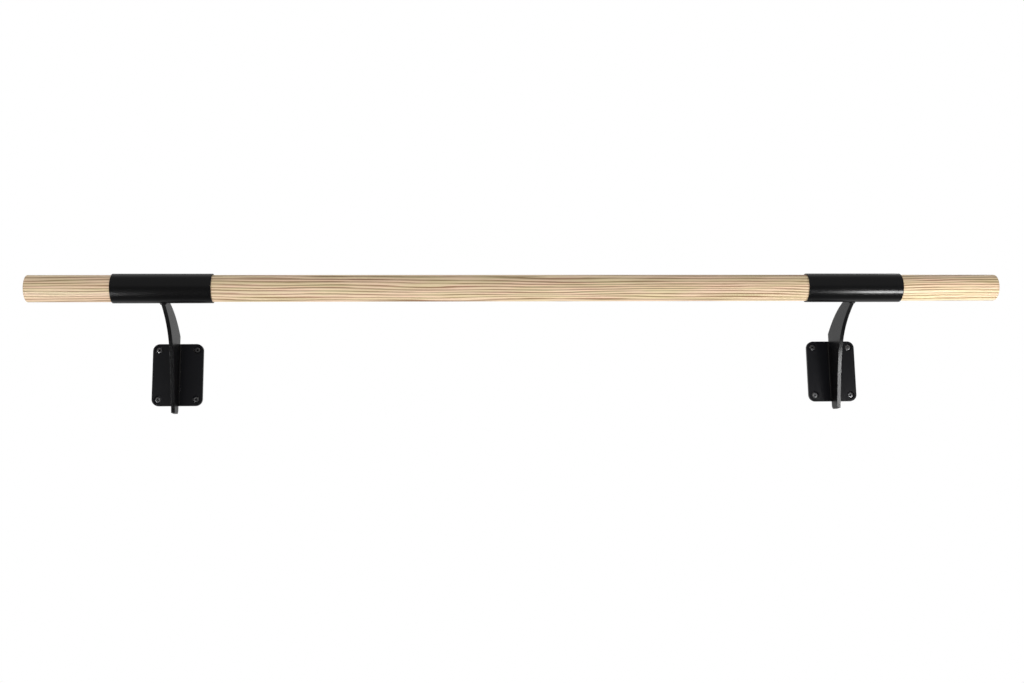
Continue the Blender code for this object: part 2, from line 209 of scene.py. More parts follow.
def smooth_curve(start, start_direction, end, end_direction, handles, count):
    """A cubic curve that leaves and arrives in the given directions."""
    a, d = Vector(start), Vector(end)
    b = a + Vector((math.cos(start_direction), math.sin(start_direction))) * handles[0]
    c = d - Vector((math.cos(end_direction), math.sin(end_direction))) * handles[1]
    points = []
    for i in range(count):
        t = i / (count - 1)
        s = 1 - t
        points.append(tuple(s**3 * a + 3 * s * s * t * b + 3 * s * t * t * c + t**3 * d))
    return points


def lathe(shape, rows, steps, closed=False):
    """A skin round Z through (radius, height) rows that run down its outer side.

    A radius is a number, or a function of the angle for a row that isn't round.
    """
    rings = []
    for radius, height in rows:
        if radius == 0:
            rings.append([shape.verts.new((0, 0, height))])
            continue
        ring = []
        for i in range(steps):
            turn = 2 * math.pi * i / steps
            reach = radius(turn) if callable(radius) else radius
            ring.append(shape.verts.new((reach * math.cos(turn), reach * math.sin(turn), height)))
        rings.append(ring)
    nexts = rings[1:] + rings[:1] if closed else rings[1:]
    for upper, lower in zip(rings, nexts):
        for i in range(steps):
            j = (i + 1) % steps
            corners = [upper[i % len(upper)], lower[i % len(lower)]]
            corners += [lower[j % len(lower)], upper[j % len(upper)]]
            shape.faces.new(dict.fromkeys(corners))


def slab(shape, outline, low, high, place):
    """A flat piece between two levels: place turns (across, up, level) into a point."""
    lower = [shape.verts.new(place(across, up, low)) for across, up in outline]
    upper = [shape.verts.new(place(across, up, high)) for across, up in outline]
    shape.faces.new(lower)
    shape.faces.new(upper)
    for i in range(len(outline)):
        j = (i + 1) % len(outline)
        shape.faces.new((lower[i], lower[j], upper[j], upper[i]))
    bmesh.ops.recalc_face_normals(shape, faces=shape.faces)


def bead(shape, line, radius_at, closed):
    """A round bead along a line of points; radius_at gives its radius at each point."""
    count = len(line)
    rings = []
    side = None
    for i, here in enumerate(line):
        after = line[(i + 1) % count] if closed else line[min(i + 1, count - 1)]
        before = line[i - 1] if closed or i else line[0]
        along = (after - before).normalized()
        side = along.orthogonal() if side is None else side - along * side.dot(along)
        side.normalize()
        other = along.cross(side)
        turns = [2 * math.pi * k / BEAD_STEPS for k in range(BEAD_STEPS)]
        spokes = [side * math.cos(turn) + other * math.sin(turn) for turn in turns]
        rings.append([shape.verts.new(here + spoke * radius_at(i)) for spoke in spokes])
    pairs = list(zip(rings, rings[1:]))
    if closed:
        start = min(range(BEAD_STEPS), key=lambda k: (rings[0][k].co - rings[-1][0].co).length)
        pairs.append((rings[-1], rings[0][start:] + rings[0][:start]))
    else:
        shape.faces.new(rings[0])
        shape.faces.new(rings[-1])
    for first, second in pairs:
        for k in range(BEAD_STEPS):
            m = (k + 1) % BEAD_STEPS
            shape.faces.new((first[k], first[m], second[m], second[k]))
    bmesh.ops.recalc_face_normals(shape, faces=shape.faces)


def body_from(shape, name, turn=None):
    """An object with this shape, turned into the model's frame."""
    if turn is not None:
        bmesh.ops.transform(shape, matrix=turn, verts=shape.verts)
    mesh = bpy.data.meshes.new(name)
    shape.to_mesh(mesh)
    shape.free()
    body = bpy.data.objects.new(name, mesh)
    bpy.context.scene.collection.objects.link(body)
    return body


def settle(body):
    """Makes the mesh what its modifiers make of it."""
    bpy.context.view_layer.update()
    evaluated = body.evaluated_get(bpy.context.evaluated_depsgraph_get())
    mesh = bpy.data.meshes.new_from_object(evaluated)
    body.modifiers.clear()
    body.data = mesh


def carve(body, *cutters, solver="EXACT"):
    """Takes the cutters' shapes out of the body, and removes the cutters.

    The EXACT solver leaves nothing of a ring-shaped bead, so beads are cut by MANIFOLD.
    """
    for cutter in cutters:
        modifier = body.modifiers.new("carve", "BOOLEAN")
        modifier.operation = "DIFFERENCE"
        modifier.solver = solver
        modifier.object = cutter
    settle(body)
    for cutter in cutters:
        bpy.data.objects.remove(cutter)


def round_edges(body, width):
    """Rounds the body's edges; the width is how far the rounding reaches from each."""
    bevel = body.modifiers.new("rounded", "BEVEL")
    bevel.width = width
    bevel.segments = BEVEL_STEPS
    bevel.limit_method = "ANGLE"
    bevel.angle_limit = BEVEL_FOLD
    settle(body)


def piece(body, node, material, fold=TURNED_FOLD):
    """Finishes a piece: smooth faces, its material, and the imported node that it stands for."""
    body.data.shade_smooth()
    body.data.set_sharp_from_angle(angle=fold)
    body.data.materials.clear()
    body.data.materials.append(material)
    weighted = body.modifiers.new("even_shading", "WEIGHTED_NORMAL")
    weighted.keep_sharp = True
    settle(body)
    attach(body, "root")
    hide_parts(node)
    return body


# Finishes


class Value:
    """A socket in a finish's nodes. Sums on it add Math nodes."""

    def __init__(self, finish, socket):
        self.finish = finish
        self.socket = socket

    def __add__(self, other):
        return self.finish.maths("ADD", self, other)

    def __sub__(self, other):
        return self.finish.maths("SUBTRACT", self, other)

    def __rsub__(self, other):
        return self.finish.maths("SUBTRACT", other, self)

    def __mul__(self, other):
        return self.finish.maths("MULTIPLY", self, other)

    def __truediv__(self, other):
        return self.finish.maths("DIVIDE", self, other)

    def __pow__(self, other):
        return self.finish.maths("POWER", self, other)

    def __abs__(self):
        return self.finish.maths("ABSOLUTE", self)

    __radd__ = __add__
    __rmul__ = __mul__


class Finish:
    """The nodes of one material, or of the world."""

    def __init__(self, owner):
        owner.use_nodes = True
        self.tree = owner.node_tree
        self.tree.nodes.clear()

    def node(self, kind, settings=None, sockets=None, output=0):
        """Adds a node: its settings first, and then the values or links of its sockets."""
        made = self.tree.nodes.new(kind)
        for name, setting in (settings or {}).items():
            if name == "stops":
                set_stops(made.color_ramp, setting)
            else:
                setattr(made, name, setting)
        for name, given in (sockets or {}).items():
            if isinstance(given, Value):
                self.tree.links.new(given.socket, made.inputs[name])
            else:
                made.inputs[name].default_value = given
        return Value(self, made.outputs[output]) if made.outputs else None

    def maths(self, operation, *values):
        return self.node("ShaderNodeMath", {"operation": operation}, dict(enumerate(values)))

    def blend(self, share, first, second, way="MIX"):
        """Mixes two colours."""
        settings = {"data_type": "RGBA", "blend_type": way}
        return self.node("ShaderNodeMix", settings, {0: share, 6: first, 7: second}, 2)

    def step(self, value, low, high):
        """Rises smoothly from 0 to 1 as the value goes from low to high."""
        settings = {"interpolation_type": "SMOOTHSTEP"}
        sockets = {"Value": value, "From Min": low, "From Max": high}
        return self.node("ShaderNodeMapRange", settings, sockets)

    def ramp(self, share, stops):
        return self.node("ShaderNodeValToRGB", {"stops": stops}, {0: share})

    def split(self, vector):
        first = self.node("ShaderNodeSeparateXYZ", None, {0: vector})
        return [Value(self, socket) for socket in first.socket.node.outputs]

    def place(self):
        """The point on the piece, in the model's frame or in the piece's own."""
        return self.node("ShaderNodeTexCoord", output="Object")

    def noise(self, x, y, z, scale, detail=2.0):
        """Noise of 0 to 1, with one patch in each 1 / scale along each way."""
        ways = dict(enumerate(way * size for way, size in zip((x, y, z), scale)))
        point = self.node("ShaderNodeCombineXYZ", None, ways)
        return self.node(
            "ShaderNodeTexNoise", None, {"Vector": point, "Scale": 1.0, "Detail": detail}
        )

    def patches(self, x, y, z, size, detail=2.0):
        """Noise that is alike in all directions."""
        return self.noise(x, y, z, (size, size, size), detail)

    def bump(self, height, distance):
        """Relief of this height, from 0 to 1, over this distance."""
        sockets = {"Height": height, "Distance": distance, "Strength": 1.0}
        return self.node("ShaderNodeBump", None, sockets)

    def surface(self, **sockets):
        """Ends a material with its main shader; an underscore in a name stands for a space."""
        named = {name.replace("_", " "): given for name, given in sockets.items()}
        shader = self.node("ShaderNodeBsdfPrincipled", None, named)
        self.node("ShaderNodeOutputMaterial", None, {"Surface": shader})


def set_stops(ramp, stops):
    """Gives a ramp these stops, each a position and a colour."""
    while len(ramp.elements) > 1:
        ramp.elements.remove(ramp.elements[-1])
    for i, (position, colour) in enumerate(stops):
        stop = ramp.elements[0] if i == 0 else ramp.elements.new(position)
        stop.position = position
        stop.color = (*colour, 1.0)


def grey(value):
    return (value, value, value)


def pale_wood(axis, half_length):
    """Straight-grained softwood under a thin oil: fine dark growth lines along the bar."""
    material = bpy.data.materials.new("pale_wood")
    finish = Finish(material)
    x, y, z = finish.split(finish.place())
    along = x - axis.x
    out = y - axis.y
    up = z - axis.z

    def grain(lengthways, across, detail=2.0):
        """Noise drawn out along the bar, by patches in each metre along it and across it."""
        return finish.noise(along, out, up, (lengthways, across, across), detail)

    # growth rings round a heart well below the bar, which wander slowly along it
    wander = grain(2.6, 26.0, 1.0) - 0.5
    waver = grain(7.0, 130.0) - 0.5
    from_heart = ((out - HEART_BEHIND) ** 2.0 + (up + HEART_BELOW) ** 2.0) ** 0.5
    ring = from_heart / GROWTH_SPACING + wander * 3.4 + waver * 1.1
    year = finish.maths("FRACT", ring)
    late = finish.ramp(
        year,
        [
            (0.0, grey(0.0)),
            (0.36, grey(0.05)),
            (0.60, grey(0.66)),
            (0.72, grey(1.0)),
            (0.92, grey(1.0)),
            (1.0, grey(0.0)),
        ],
    )
    strength = grain(9.0, 190.0)
    late = late * (finish.step(strength, 0.30, 0.62) * 0.42 + 0.58)

    warmth = finish.step(grain(12.0, 170.0), 0.30, 0.70)
    colour = finish.blend(late, finish.blend(warmth, *EARLY_WOOD), finish.blend(warmth, *LATE_WOOD))

    # fibres and pores, drawn out along the grain
    fibre = grain(22.0, 1500.0, 3.0)
    streak = grain(7.0, 420.0)
    shade = finish.ramp(
        fibre * 0.5 + streak * 0.5, [(0.30, grey(0.86)), (0.52, grey(0.98)), (0.70, grey(1.05))]
    )
    colour = finish.blend(1.0, colour, shade, "MULTIPLY")
    pore = finish.step(grain(60.0, 2600.0, 1.0), 0.68, 0.76)
    colour = finish.blend(pore * 0.30, colour, PORE_WOOD)

    # the sawn ends drink more oil and look darker
    end = finish.step(abs(along), half_length - END_DEPTH[0], half_length - END_DEPTH[1])
    colour = finish.blend(end * 0.55, colour, END_WOOD)
    height = late * 0.6 + fibre * 0.45 - pore * 0.5
    roughness = 0.46 + fibre * 0.14 - late * 0.08 + end * 0.16
    finish.surface(
        Base_Color=colour, Roughness=roughness, Normal=finish.bump(height, GRAIN_RELIEF)
    )
    return material


def black_coat(name, shade, gloss):
    """Satin black powder coat with a fine orange-peel skin."""
    material = bpy.data.materials.new(name)
    finish = Finish(material)
    x, y, z = finish.split(finish.place())
    peel = finish.patches(x, y, z, 620.0)
    grain = finish.patches(x, y, z, 3600.0)
    cloud = finish.patches(x, y, z, 38.0, 3.0)
    dark = tuple(0.85 * part for part in shade)
    light = tuple(1.2 * part for part in shade)
    colour = finish.blend(cloud * 0.6 + grain * 0.4, (*dark, 1.0), (*light, 1.0))
    roughness = gloss + cloud * 0.05 + grain * 0.04 - 0.045
    finish.surface(
        Base_Color=colour,
        Roughness=roughness,
        Normal=finish.bump(peel * 0.8 + grain * 0.2, COAT_RELIEF),
    )
    return material


def zinc_steel():
    """Dull zinc-plated steel with turning marks round the screw's own axis."""
    material = bpy.data.materials.new("zinc_steel")
    finish = Finish(material)
    x, y, z = finish.split(finish.place())
    from_axis = (x * x + y * y) ** 0.5
    depth = z * -1.0
    rings = finish.maths("SINE", from_axis * TURNING_MARKS)
    smear = finish.patches(x, y, z, 700.0, 3.0)
    speck = finish.patches(x, y, z, 4200.0)
    # painted shade: inside the socket, below its mouth, the steel is darkened and made duller as if
    # in shadow
    socket_shade = finish.step(depth, 0.0004, 0.0016) * finish.step(from_axis, 0.0024, 0.0019)
    colour = finish.ramp(
        smear * 0.7 + speck * 0.3,
        [(0.25, (0.28, 0.28, 0.29)), (0.55, (0.38, 0.38, 0.39)), (0.8, (0.46, 0.46, 0.46))],
    )
    colour = finish.blend(socket_shade * 0.8, colour, SOCKET_SHADE)
    finish.surface(
        Base_Color=colour,
        Metallic=1.0,
        Roughness=0.26 + smear * 0.16 + speck * 0.08 + socket_shade * 0.25,
        Normal=finish.bump(rings * 0.25 + speck * 0.6, SCREW_RELIEF),
    )
    return material


# The pieces


def rounded_end(radius, height, edge, sign, outward=1):
    """The rows round an edge of a turned piece, from its face to its side for sign 1.

    outward is -1 for the edge of a bore.
    """
    turns = [math.pi / 2 * i / (EDGE_STEPS - 1) for i in range(EDGE_STEPS)]
    rows = []
    for turn in turns:
        reach = radius - outward * edge + outward * edge * math.sin(turn)
        rows.append((reach, sign * (height - edge + edge * math.cos(turn))))
    return rows if sign > 0 else rows[::-1]


def along_bar(middle):
    """Turns local Z to +X and moves the piece to its middle."""
    return Matrix.Translation(middle) @ Matrix.Rotation(math.pi / 2, 4, "Y")


def lock_direction():
    """From the bar's axis out through the lock screws."""
    return Vector((0, math.cos(LOCK_SCREW_ANGLE), math.sin(LOCK_SCREW_ANGLE)))


def lock_drill(middle, radius):
    """The drill that makes the lock screw's hole, from the sleeve's outside into the bar."""
    shape = bmesh.new()
    depth = LOCK_SCREW_LENGTH + GAP
    rows = [(0, DRILL_CLEAR), (radius, DRILL_CLEAR), (radius, -depth), (0, -depth - radius / 2)]
    lathe(shape, rows, DRILL_STEPS)
    aim = lock_direction().to_track_quat("Z", "X").to_matrix().to_4x4()
    start = middle + lock_direction() * sleeve_radius()
    return body_from(shape, "lock_drill", Matrix.Translation(start) @ aim)


def middle_of(node):
    """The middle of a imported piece's box."""
    low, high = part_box(node)
    return (low + high) / 2


def sleeve_radius():
    """The outer radius of both sleeves."""
    low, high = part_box("left_sleeve")
    return (high.z - low.z) / 2


def make_bar():
    """The round wooden bar, with blind holes for the lock screws."""
    low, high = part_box("wooden_bar")
    middle, half, radius = (low + high) / 2, (high.x - low.x) / 2, (high.z - low.z) / 2
    rows = [(0, half)] + rounded_end(radius, half, BAR_EDGE, 1)
    straight = half - BAR_EDGE
    rows += [(radius, straight - 2 * straight * i / BAR_SPANS) for i in range(1, BAR_SPANS)]
    rows += rounded_end(radius, half, BAR_EDGE, -1) + [(0, -half)]
    shape = bmesh.new()
    lathe(shape, rows, ROUND_STEPS)
    bar = body_from(shape, "bar_of_wood", along_bar(middle))
    drills = [lock_drill(middle_of(side + "_sleeve"), LOCK_SCREW_RADIUS + GAP) for side in SIDES]
    carve(bar, *drills)
    piece(bar, "wooden_bar", pale_wood(middle, half))


def make_sleeve(side, material):
    """The steel tube round the bar, drilled for its lock screw."""
    low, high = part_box(side + "_sleeve")
    middle, half, radius = (low + high) / 2, (high.x - low.x) / 2, (high.z - low.z) / 2
    bore = radius - SLEEVE_WALL
    rows = [row for sign in (1, -1) for row in rounded_end(radius, half, SLEEVE_EDGE, sign)]
    inside = [row for sign in (1, -1) for row in rounded_end(bore, half, SLEEVE_EDGE, sign, -1)]
    shape = bmesh.new()
    lathe(shape, rows + inside[::-1], ROUND_STEPS, closed=True)
    sleeve = body_from(shape, side + "_sleeve_tube", along_bar(middle))
    carve(sleeve, lock_drill(middle, LOCK_SCREW_RADIUS + GAP))
    piece(sleeve, side + "_sleeve", material)


def arm_outline(side):
    """The arm's side view, anticlockwise: down its front edge, round its tip and up its back."""
    axis = middle_of(side + "_sleeve")
    low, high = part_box(side + "_arm")
    radius, clear = sleeve_radius(), sleeve_radius() + GAP
    wall_side, bottom = high.y - axis.y, low.z - axis.z
    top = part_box(side + "_wall_plate")[1].z + ARM_ABOVE_PLATE - axis.z
    start = (radius * math.cos(ARM_FRONT_ANGLE), radius * math.sin(ARM_FRONT_ANGLE))
    end = (radius * math.cos(ARM_BACK_ANGLE), radius * math.sin(ARM_BACK_ANGLE))
    tip = (wall_side - ARM_TIP_WIDTH, bottom)
    front = smooth_curve(
        start, ARM_FRONT_START, tip, ARM_FRONT_END, ARM_FRONT_HANDLES, ARM_FRONT_STEPS
    )
    corner_centre = (wall_side - ARM_TIP_CORNER, bottom + ARM_TIP_CORNER)
    corner = arc(corner_centre, ARM_TIP_CORNER, -math.pi / 2, 0, ARM_TIP_STEPS)
    back = arc_between((wall_side, top), end, ARM_BACK_RADIUS, ARM_BACK_STEPS)
    front = [point for point in front if math.hypot(*point) > clear]
    back = [point for point in back if math.hypot(*point) > clear]
    first, last = (math.atan2(point[1], point[0]) for point in (back[-1], front[0]))
    return front + corner + back + arc((0, 0), clear, first, last, ARM_SEAT_STEPS)


def side_view_place(side):
    """Turns a point of the arm's side view, at a level along the bar, into the model's frame."""
    axis = middle_of(side + "_sleeve")
    return lambda across, up, level: (level, axis.y + across, axis.z + up)


def make_arm(side, material):
    """The curved flat arm, on edge, from the sleeve down to the plate."""
    low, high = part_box(side + "_arm")
    shape = bmesh.new()
    slab(shape, arm_outline(side), low.x, high.x, side_view_place(side))
    arm = body_from(shape, side + "_curved_arm")
    round_edges(arm, ARM_EDGE)
    piece(arm, side + "_arm", material, ARM_FOLD)


def sink_cutter(side, hole):
    """Drills and countersinks one hole, with a soft lip where the coat runs into it."""
    plate_low, plate_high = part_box(side + "_wall_plate")
    screw = middle_of(f"{side}_wall_screw_{hole}")
    thickness = plate_high.y - plate_low.y
    lip = []
    for share in LIP_SHARES:
        reach = SINK_RADIUS + SINK_LIP * (LIP_OUTSIDE - LIP_WIDTH * share)
        lip.append((reach, -SINK_LIP * LIP_DEPTH * share**LIP_CURVE))
    above = [(0, SINK_CLEAR), (lip[0][0], SINK_CLEAR)]
    cone = [(HOLE_RADIUS, -(SINK_RADIUS - HOLE_RADIUS))]
    below = [(HOLE_RADIUS, -thickness - SINK_CLEAR), (0, -thickness - SINK_CLEAR)]
    shape = bmesh.new()
    lathe(shape, above + lip + cone + below, SINK_STEPS)
    to_front = Matrix.Rotation(math.pi / 2, 4, "X")
    place = Matrix.Translation((screw.x, plate_low.y, screw.z))
    return body_from(shape, "sink_cutter", place @ to_front)


def make_plate(side, material):
    """The wall plate, with four countersunk holes."""
    low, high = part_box(side + "_wall_plate")
    middle = (low + high) / 2
    half_width, half_height = (high.x - low.x) / 2, (high.z - low.z) / 2
    outline = []
    for quarter, (sx, sz) in enumerate(((1, 1), (-1, 1), (-1, -1), (1, -1))):
        centre = (sx * (half_width - PLATE_CORNER), sz * (half_height - PLATE_CORNER))
        start = quarter * math.pi / 2
        outline += arc(centre, PLATE_CORNER, start, start + math.pi / 2, PLATE_CORNER_STEPS)
    shape = bmesh.new()
    slab(shape, outline, low.y, high.y, lambda across, up, y: (middle.x + across, y, middle.z + up))
    plate = body_from(shape, side + "_plate_on_wall")
    round_edges(plate, PLATE_EDGE)
    carve(plate, *(sink_cutter(side, hole) for hole in HOLES))
    piece(plate, side + "_wall_plate", material)


def ripple_radius(row):
    """The bead's radius at a row: one ripple after another, each with a soft crest."""
    share = (row * BEAD_ROW / BEAD_RIPPLE) % 1.0
    swell = BEAD_SWELL * math.sin(math.pi * share) ** BEAD_CREST
    unevenness = sum(size * math.sin(row * BEAD_ROW * turn) for size, turn in BEAD_UNEVENNESS)
    return BEAD_RADIUS * (1 - BEAD_SWELL + swell + unevenness)


def evenly(line, closed):
    """The line's points again, one row of the bead apart."""
    ends = line[1:] + line[:1] if closed else line[1:]
    points = []
    left_over = 0.0
    for start, end in zip(line, ends):
        length = (end - start).length
        travelled = left_over
        while travelled < length:
            points.append(start.lerp(end, travelled / length))
            travelled += BEAD_ROW
        left_over = travelled - length
    return points


def arm_cutter(side):
    """The arm's shape, a hair thinner, to trim the beads beside it."""
    low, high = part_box(side + "_arm")
    shape = bmesh.new()
    outline = arm_outline(side)
    slab(shape, outline, low.x + SINK_IN, high.x - SINK_IN, side_view_place(side))
    return body_from(shape, "arm_cutter")


def plate_cutter(side):
    """The plate's shape, a hair further back, to trim the beads on it."""
    low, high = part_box(side + "_wall_plate")
    shape = bmesh.new()
    bmesh.ops.create_cube(shape, size=1.0)
    size = Vector((high.x - low.x, high.y - low.y, (high.z - low.z) * PLATE_CUTTER_HEIGHT))
    centre = (low + high) / 2 + Vector((0, SINK_IN, 0))
    return body_from(shape, "plate_cutter", Matrix.LocRotScale(centre, None, size))


def sleeve_cutter(side):
    """The sleeve's shape, a hair thinner, to trim the bead under it."""
    radius, half = sleeve_radius() - SINK_IN, SLEEVE_CUTTER_HALF
    shape = bmesh.new()
    lathe(shape, [(0, half), (radius, half), (radius, -half), (0, -half)], ROUND_STEPS)
    return body_from(shape, "sleeve_cutter", along_bar(middle_of(side + "_sleeve")))


def make_sleeve_weld(side, material):
    """The bead all round the arm's end, where it meets the sleeve."""
    axis = middle_of(side + "_sleeve")
    low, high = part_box(side + "_arm")
    radius = sleeve_radius() + GAP
    ring = [point for point in arm_outline(side) if math.hypot(*point) < radius + GAP]
    turns = [math.atan2(up, across) for across, up in ring]
    start, end = min(turns) * radius, max(turns) * radius
    corners = ((end, high.x), (start, high.x), (start, low.x), (end, low.x))
    inward = ((-1, -1), (1, -1), (1, 1), (-1, 1))
    loop = []
    for quarter, (corner, way) in enumerate(zip(corners, inward)):
        centre = [at + BEAD_CORNER * sign for at, sign in zip(corner, way)]
        turn = quarter * math.pi / 2
        loop += arc(centre, BEAD_CORNER, turn, turn + math.pi / 2, BEAD_CORNER_STEPS)
    points = []
    for run, x in evenly([Vector(point) for point in loop], True):
        across, up = radius * math.cos(run / radius), radius * math.sin(run / radius)
        points.append(Vector((x, axis.y + across, axis.z + up)))
    shape = bmesh.new()
    bead(shape, points, ripple_radius, True)
    weld = body_from(shape, side + "_bead_under_sleeve")
    carve(weld, arm_cutter(side), sleeve_cutter(side), solver="MANIFOLD")
    piece(weld, side + "_sleeve_weld", material, BEAD_FOLD)


def make_plate_weld(side, hand, material):
    """The bead down the plate on one side of the arm."""
    low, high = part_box(f"{side}_plate_weld_{hand}")
    arm_low, arm_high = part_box(side + "_arm")
    plate_low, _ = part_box(side + "_wall_plate")
    x = arm_high.x if hand == "right" else arm_low.x
    heights = (high.z - BEAD_END_INSET, low.z + BEAD_END_INSET)
    points = evenly([Vector((x, plate_low.y, z)) for z in heights], False)
    rows = len(points)

    def radius(row):
        """A ripple, drawn in at both ends of the bead."""
        to_end = min(row, rows - 1 - row) * BEAD_ROW
        return ripple_radius(row) * min(1.0, BEAD_END_SIZE + to_end / BEAD_END_TAPER)

    shape = bmesh.new()
    bead(shape, points, radius, False)
    weld = body_from(shape, f"{side}_bead_on_plate_{hand}")
    carve(weld, arm_cutter(side), plate_cutter(side), solver="MANIFOLD")
    piece(weld, f"{side}_plate_weld_{hand}", material, BEAD_FOLD)


def thread_rows(radius, pitch, start, end):
    """Rows of a pointed wood-screw thread along -Z, from its start to its point."""
    core = THREAD_CORE * radius
    count = round((start - end) / pitch * THREAD_ROWS)
    rows = []
    for i in range(1, count):
        height = start + (end - start) * i / count
        point = min(1.0, (height - end) / (POINT_LENGTH * radius))
        fade = min(1.0, (start - height) / pitch)

        def reach(turn, height=height, point=point, fade=fade):
            share = (height / pitch + turn / (2 * math.pi)) % 1.0
            ridge = max(0.0, 1 - abs(share - 0.5) / THREAD_RIDGE)
            return point * (core + (radius - core) * fade * ridge + (radius - core) * (1 - fade))

        rows.append((reach, height))
    return rows + [(0, end)]


def flat_head():
    """The wall screw's head, from the middle of its face out to its shank."""
    neck = WALL_SCREW_SEAT + WALL_SCREW_HEAD - WALL_SCREW_RADIUS
    inset = WALL_SCREW_HEAD - WALL_SCREW_RIM_CORNER
    crown = [(WALL_SCREW_HEAD * share, height) for share, height in WALL_SCREW_CROWN]
    return [(0, 0)] + crown + [
        (inset, WALL_SCREW_RIM_CORNER - WALL_SCREW_RIM),
        (WALL_SCREW_HEAD, -WALL_SCREW_RIM),
        (inset, -WALL_SCREW_RIM_CORNER - WALL_SCREW_RIM),
        (WALL_SCREW_RADIUS + WALL_SCREW_NECK, WALL_SCREW_NECK - neck),
        (WALL_SCREW_RADIUS, -neck - WALL_SCREW_NECK_END),
    ]


def round_head():
    """The lock screw's head, from its top out to its shank."""
    dome = LOCK_SCREW_HEAD_HEIGHT - LOCK_SCREW_RIM
    rows = []
    for i in range(HEAD_STEPS + 1):
        turn = math.pi / 2 * i / HEAD_STEPS
        rows.append((LOCK_SCREW_HEAD * math.sin(turn), LOCK_SCREW_RIM + dome * math.cos(turn)))
    rows.append((LOCK_SCREW_HEAD, LOCK_SCREW_RIM_CORNER))
    rows.append((LOCK_SCREW_HEAD - LOCK_SCREW_RIM_CORNER, 0))
    return rows + [(LOCK_SCREW_RADIUS, 0)]


def socket_cutter(top, across_flats, depth):
    """A hexagon key's socket with a drilled bottom and a chamfered mouth."""
    corner = across_flats / math.sqrt(3)
    above = top + SOCKET_CLEAR
    key = bmesh.new()
    rows = [(0, above), (corner, above), (corner, top - depth), (0, top - depth - corner / 2)]
    lathe(key, rows, 6)
    mouth = bmesh.new()
    wide = corner + SOCKET_CHAMFER + SOCKET_CLEAR
    narrow = corner - SOCKET_MOUTH_OVERLAP
    bottom = top - SOCKET_CHAMFER - SOCKET_MOUTH_OVERLAP
    lathe(mouth, [(0, above), (wide, above), (narrow, bottom), (0, bottom)], DRILL_STEPS)
    return body_from(key, "socket_key"), body_from(mouth, "socket_mouth")


def screw_mesh(name, head, radius, pitch, length, across_flats, depth):
    """A whole screw along local Z, with its head's seat or face at the origin."""
    shape = bmesh.new()
    start = head[-1][1] - THREAD_START
    lathe(shape, head + thread_rows(radius, pitch, start, -length), SCREW_STEPS)
    screw = body_from(shape, name)
    carve(screw, *socket_cutter(head[0][1], across_flats, depth))
    mesh = screw.data
    bpy.data.objects.remove(screw)
    return mesh


def set_screw(mesh, node, name, place, outward, turn, material):
    """Puts a copy of the screw in its place, its head facing outward."""
    screw = bpy.data.objects.new(name, mesh.copy())
    bpy.context.scene.collection.objects.link(screw)
    aim = outward.to_track_quat("Z", "Y").to_matrix().to_4x4()
    piece(screw, node, material)
    screw.matrix_world = Matrix.Translation(place) @ aim @ Matrix.Rotation(turn, 4, "Z")


def make_screws():
    """Four wall screws in each plate and a lock screw in each sleeve."""
    steel = zinc_steel()
    low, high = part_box("left_wall_screw_top_left")
    length = high.y - low.y
    mesh = screw_mesh(
        "wall_screw",
        flat_head(),
        WALL_SCREW_RADIUS,
        WALL_SCREW_PITCH,
        length,
        WALL_SCREW_SOCKET,
        WALL_SCREW_SOCKET_DEPTH,
    )
    nodes = [f"{side}_wall_screw_{hole}" for side in SIDES for hole in HOLES]
    for number, node in enumerate(nodes, 1):
        middle = middle_of(node)
        place = Vector((middle.x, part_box(node)[0].y, middle.z))
        turn = math.radians(WALL_SCREW_TURN * number)
        set_screw(mesh, node, node + "_threaded", place, Vector((0, -1, 0)), turn, steel)
    mesh = screw_mesh(
        "lock_screw",
        round_head(),
        LOCK_SCREW_RADIUS,
        LOCK_SCREW_PITCH,
        LOCK_SCREW_LENGTH,
        LOCK_SCREW_SOCKET,
        LOCK_SCREW_SOCKET_DEPTH,
    )
    for side in SIDES:
        node = side + "_lock_screw"
        out = lock_direction()
        place = middle_of(side + "_sleeve") + out * (sleeve_radius() + GAP)
        set_screw(mesh, node, node + "_threaded", place, out, LOCK_SCREW_TURN, steel)


# The studio


def make_surround():
    """A white surround that is brighter behind the bar than in front of it."""
    world = bpy.data.worlds.new("studio")
    bpy.context.scene.world = world
    finish = Finish(world)
    _, y, z = finish.split(finish.node("ShaderNodeTexCoord", output="Generated"))
    behind = finish.step(y, -0.10, 0.35)
    above = finish.step(z, -0.12, 0.28)
    below = finish.step(z, -0.72, -0.92)
    front_glow = FRONT_GLOW + above * ABOVE_GLOW
    glow = (front_glow * (1.0 - behind) + behind * BEHIND_GLOW) * (1.0 - below * BELOW_DIMMING)
    seen = finish.node("ShaderNodeLightPath", output="Is Camera Ray")
    soft = finish.node("ShaderNodeLightPath", output="Is Diffuse Ray")
    bounced = finish.step(z, 0.1, -0.7)
    strength = seen + (glow + soft * (SOFT_GLOW + bounced * BOUNCED_GLOW)) * (1.0 - seen)
    shade = finish.node("ShaderNodeBackground", None, {"Color": (1, 1, 1, 1), "Strength": strength})
    finish.node("ShaderNodeOutputWorld", None, {"Surface": shade})


def add_softbox(name, place, target, width, height, glow, mirrored=True, spread=True):
    """A rectangular light whose face is as bright as glow, where 1 is white.

    One that isn't mirrored shows in no gloss, and one that doesn't spread shows only there.
    """
    light = bpy.data.lights.new(name, "AREA")
    light.shape = "RECTANGLE"
    light.size = width
    light.size_y = height
    light.energy = glow * width * height * math.pi
    lamp = bpy.data.objects.new(name, light)
    lamp.location = place
    lamp.rotation_euler = (Vector(target) - Vector(place)).to_track_quat("-Z", "Y").to_euler()
    lamp.visible_camera = False
    lamp.visible_glossy = mirrored
    lamp.visible_diffuse = spread
    bpy.context.scene.collection.objects.link(lamp)


